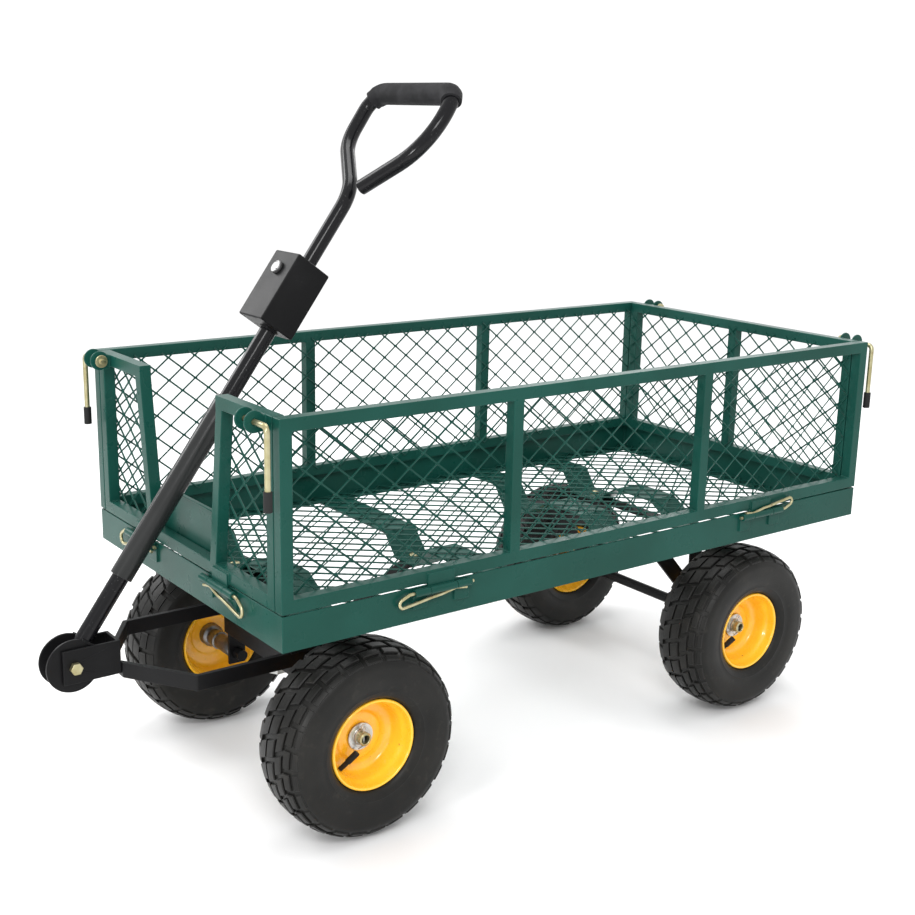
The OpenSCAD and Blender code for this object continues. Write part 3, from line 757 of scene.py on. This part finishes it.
def add_bond(shape, centre, u_axis, v_axis, normal):
    """The flattened lump where two strands meet, long along the diamonds."""
    half_u, half_v, half_t = 3.0 * MM, 1.3 * MM, 0.9 * MM
    ring = [(1, 0), (0.45, 1), (-0.45, 1), (-1, 0), (-0.45, -1), (0.45, -1)]
    low = [centre + u_axis * half_u * u + v_axis * half_v * v - normal * half_t for u, v in ring]
    high = [p + normal * 2 * half_t for p in low]
    shape.loft([low, high])


def make_meshes():
    x_axis, y_axis = Vector((1, 0, 0)), Vector((0, 1, 0))
    low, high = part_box("floor_mesh")
    z = (low.z + high.z) / 2
    rectangle = [(low.x, low.y), (high.x, low.y), (high.x, high.y), (low.x, high.y)]
    make_mesh("floor_wire", "bed", "floor_mesh", rectangle, lambda p: Vector((p.x, p.y, z)), x_axis, y_axis)
    for side in ("left", "right"):
        low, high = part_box(side + "_side_mesh")
        y = (low.y + high.y) / 2
        rectangle = [(low.x, low.z), (high.x, low.z), (high.x, high.z), (low.x, high.z)]
        make_mesh(side + "_side_wire", side + "_side", side + "_side_mesh", rectangle,
                  lambda p, y=y: Vector((p.x, y, p.y)), x_axis, UP)
    low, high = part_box("rear_gate_mesh")
    x = (low.x + high.x) / 2
    rectangle = [(low.y, low.z), (high.y, low.z), (high.y, high.z), (low.y, high.z)]
    make_mesh("rear_gate_wire", "rear_gate", "rear_gate_mesh", rectangle,
              lambda p: Vector((x, p.x, p.y)), y_axis, UP)
    make_front_gate_mesh(y_axis)


def make_front_gate_mesh(y_axis):
    """Two panels, each with one leaning edge beside the notch."""
    node = NODES["front_gate_mesh"]
    low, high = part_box("front_gate_mesh")
    x = (low.x + high.x) / 2
    at_foot = [abs(v.co.y) for v in node.data.vertices if v.co.z < low.z + 1 * MM]
    at_top = [abs(v.co.y) for v in node.data.vertices if v.co.z > high.z - 1 * MM]
    outlines = {
        "front_gate_wire_left": [(min(at_foot), low.z), (high.y, low.z), (high.y, high.z),
                                 (min(at_top), high.z)],
        "front_gate_wire_right": [(low.y, low.z), (-min(at_foot), low.z), (-min(at_top), high.z),
                                  (low.y, high.z)],
    }
    for name, outline in outlines.items():
        make_mesh(name, "front_gate", "front_gate_mesh", outline, lambda p: Vector((x, p.x, p.y)), y_axis, UP)


# ---- Hinge clips ----

CLIP_WIRE_R = 2.1 * MM
BARREL_HALF = 42.5 * MM
CLIP_BENDS = (9, 8, 8, 14, 10, 12)
SIDE_CLIP_DEPTH = 0.7


def clip_route():
    """The wire's route along its hinge (x) and away from it (z): a straight leg through the knuckles,
    an open loop and a wavy leg that springs against the barrel."""
    straight = [(-BARREL_HALF - 4 * MM, 0), (BARREL_HALF + 7 * MM, 0)]
    loop = [(BARREL_HALF + 22 * MM, 9 * MM), (BARREL_HALF + 21 * MM, 23 * MM)]
    wavy = [(15 * MM, 13 * MM), (3 * MM, 11.5 * MM), (-20 * MM, 5 * MM), (-36 * MM, 8.5 * MM)]
    return straight + loop + wavy


def make_clip(hinge, along, away, depth=1.0):
    """A clip on a hinge line: along points to its loop, and away from the hinge to its wavy leg."""
    points = [hinge + along * x + away * z * depth for x, z in clip_route()]
    path = rounded_path(points, [r * MM * depth for r in CLIP_BENDS], 8)
    shape = Shape()
    shape.tube(path, CLIP_WIRE_R, 14)
    return shape


def hinge_middle(node, axis, height):
    """How far a panel's knuckles are from its middle, along its hinge."""
    middle = sum(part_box(node), Vector())[axis] / 2
    reach = [abs(v.co[axis] - middle) for v in NODES[node].data.vertices if v.co.z < height]
    return (min(reach) + max(reach)) / 2


def make_clips():
    x_axis, y_axis = Vector((1, 0, 0)), Vector((0, 1, 0))
    fixed = Shape()
    for side in ("left", "right"):
        hinge = pivot(side + "_side_fold")
        reach = hinge_middle(side + "_side_frame", 0, hinge.z)
        front = make_clip(hinge + x_axis * reach, x_axis, -UP, SIDE_CLIP_DEPTH)
        fixed.add(front.verts, front.faces)
        back = make_clip(hinge - x_axis * reach, -x_axis, UP, SIDE_CLIP_DEPTH)
        back.piece(side + "_side_wire_clip", side + "_side", GOLD_ZINC, "gold_zinc",
                   (side + "_side_clip",), 60)
    for gate in ("front", "rear"):
        hinge = pivot(gate + "_gate_fold")
        reach = hinge_middle(gate + "_gate_frame", 1, hinge.z)
        for hand in (1, -1):
            found = make_clip(hinge + y_axis * reach * hand, y_axis * hand, -UP)
            fixed.add(found.verts, found.faces)
    fixed.piece("hinge_wire_clips", "bed", GOLD_ZINC, "gold_zinc", ("hinge_clips",), 60)


# ---- Handle ----


def handle_axes():
    """The handle's pivot, the direction up its shaft and the direction out of its front."""
    start = pivot("handle_tilt")
    record = frame["record"]
    hitch = next(m for m in record["mounts"] if m["name"] == "tow_hitch")
    front = Vector(hitch["axis"]).normalized()
    shaft = Vector((0, -1, 0)).cross(front)
    if shaft.z < 0:
        shaft = -shaft
    return start, shaft, front


# The loop is a route of (distance up the handle, y) in millimetres, with a bend radius at each inner
# point. The grip covers what lies beyond GRIP_FROM.
LOOP_R = 10 * MM
GRIP_R = 14.5 * MM
GRIP_FROM = 839
BOX_ENDS = (484, 581)
FOOT_R = 34
LOOP_ROUTE = ((530, 0), (695, 0), (770, -80), (851, -84), (851, 100), (776, 112), (704, 17))
LOOP_BENDS = (60, 60, 28, 17, 92)
SHAFT_R = 11.5 * MM


def make_handle():
    start, shaft, front = handle_axes()
    y_axis = Vector((0, 1, 0))

    def at(s, y, n=0.0):
        return start + shaft * s * MM + y_axis * y * MM + front * n * MM

    route = rounded_path([at(s, y) for s, y in LOOP_ROUTE], [r * MM for r in LOOP_BENDS], 12)
    loop = Shape()
    loop.tube(route, LOOP_R, 32)
    loop.piece("handle_loop_tube", "handle", GLOSS, "black_gloss", ("handle_loop",), 50)

    ends = [p for p in route if (p - start).dot(shaft) > GRIP_FROM * MM]
    total = len(ends) - 1

    def swell(t):
        edge = min(t * total, (1 - t) * total)
        return GRIP_R * (0.93 if edge < 0.5 else 1.0)

    grip = Shape()
    grip.tube(smoothed(ends, 40), swell, 40)
    grip_piece = grip.piece("foam_grip", "handle", FOAM, "foam", ("handle_grip",), 50)

    welds = Shape()
    for s in BOX_ENDS:
        ring = [at(s, SHAFT_R / MM * math.cos(a), SHAFT_R / MM * math.sin(a))
                for a in (2 * math.pi * i / 40 for i in range(41))]
        welds.tube(ring, 1.6 * MM, 8)
    for hand in (1, -1):
        ring = [at(FOOT_R * math.cos(a), hand * 15, FOOT_R * math.sin(a)) for a in (0.25, -0.25)]
        weld_bead(welds, ring[0], ring[1])
    welds.piece("handle_welds", "handle", BLACK, "black_coat")


def smoothed(points, count):
    """Evenly spaced points along a route."""
    lengths = [0.0]
    for a, b in zip(points, points[1:]):
        lengths.append(lengths[-1] + (b - a).length)
    found = []
    for k in range(count + 1):
        target = lengths[-1] * k / count
        i = 0
        while i < len(lengths) - 2 and lengths[i + 1] < target:
            i += 1
        span = lengths[i + 1] - lengths[i]
        t = (target - lengths[i]) / span if span > 0 else 0
        found.append(points[i].lerp(points[i + 1], min(max(t, 0), 1)))
    return found


# ---- Frame details ----

RAIL = 16 * MM
STRAP_T = 3 * MM
STRAP_HALF = 27 * MM
# How far the middle posts' fronts are behind the tray's front
MIDDLE_POSTS = (330 * MM, 668 * MM)


def add_dome(shape, centre, radius, height):
    """A carriage bolt's round head, facing up."""
    profile = [(radius, 0), (radius, height * 0.35), (radius * 0.85, height * 0.72),
               (radius * 0.5, height * 0.95), (radius * 0.02, height)]
    rings = []
    for r, z in profile:
        rings.append([centre + Vector((r * math.cos(a), r * math.sin(a), z))
                      for a in (2 * math.pi * i / 24 for i in range(24))])
    shape.loft(rings)


def make_bolts():
    """Carriage bolts down through the floor straps into the carriers below them."""
    bolts = Shape()
    low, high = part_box("front_carrier")
    rear = sum(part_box("rear_axle"), Vector()).x / 2
    for x, y in ((pivot("steer").x, 120 * MM), (rear, 120 * MM), (low.x + STRAP_HALF, 13 * MM)):
        for hand in (1, -1):
            add_dome(bolts, Vector((x, hand * y, high.z + STRAP_T)), 7.5 * MM, 4 * MM)
    bolts.piece("strap_bolts", "bed", GOLD_ZINC, "gold_zinc")


def make_tray_welds():
    welds = Shape()
    low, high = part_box("floor_mesh")
    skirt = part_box("handle_rest")[0].z
    reach = 0.6 * MM
    for x in (low.x + 2 * MM, high.x - 2 * MM):
        for y in (low.y + 2 * MM, high.y - 2 * MM):
            weld_bead(welds, (x, y, high.z), (x, y, skirt - reach))
    welds.piece("tray_welds", "bed", GREEN, "green_coat")


def make_panel_welds():
    """Short beads where each panel's uprights meet its rails."""
    for side in ("left", "right"):
        hand = 1 if side == "left" else -1
        outer = pivot(side + "_side_fold").y - hand * HINGE_OUT
        inner = outer - hand * RAIL
        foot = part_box(side + "_side_mesh")[0].z + 5 * MM
        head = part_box(side + "_side_mesh")[1].z - 5 * MM
        welds = Shape()
        for at in (0, *MIDDLE_POSTS, TRAY_FRONT - TRAY_BACK - RAIL):
            x0, x1 = TRAY_FRONT - at - RAIL, TRAY_FRONT - at
            for z in (foot, head):
                for x in (x0, x1):
                    if TRAY_BACK + RAIL / 2 < x < TRAY_FRONT - RAIL / 2:
                        weld_bead(welds, (x, outer - hand * 1.5 * MM, z), (x, inner + hand * 1.5 * MM, z),
                                  1.5 * MM)
        welds.piece(side + "_side_welds", side + "_side", GREEN, "green_coat")


def dress_frame():
    for node in ("bed_frame", "floor_straps", "handle_rest"):
        dressed(node, GREEN, 0.7)
    for node in ("left_side_frame", "right_side_frame", "front_gate_frame", "rear_gate_frame"):
        dressed(node, GREEN, 1.1, segments=3)
    for node in ("front_carrier", "rear_brackets", "rear_struts", "turntable", "front_beam", "tongue_arms",
                 "tongue_clevis", "handle_foot"):
        dressed(node, BLACK, 0.8)
    dressed("hitch_box", BLACK, 2.2, segments=4)
    dressed("handle_shaft", GLOSS, 0.5)
    dressed("handle_sleeve", SLEEVE, 0.9)
    dressed("kingpin", ZINC, 0.6)
    dressed("tongue_bolt", GOLD_ZINC, 0.7)
    dressed("hitch_pin", DULL_ZINC, 1.2)
    for wheel in WHEELS:
        dressed("latch_pin_" + wheel, GOLD_ZINC, 0.6)
        dressed("latch_tip_" + wheel, CAP, 0.8)


random.seed(7)
add_camera()
add_studio()
dress_frame()
make_wheels()
make_meshes()
make_clips()
make_handle()
make_bolts()
make_tray_welds()
make_panel_welds()


def plain(box):
    return [[float(value) for value in corner] for corner in box]


{"cad": plain(cad_bounds), "visual": plain(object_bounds())}
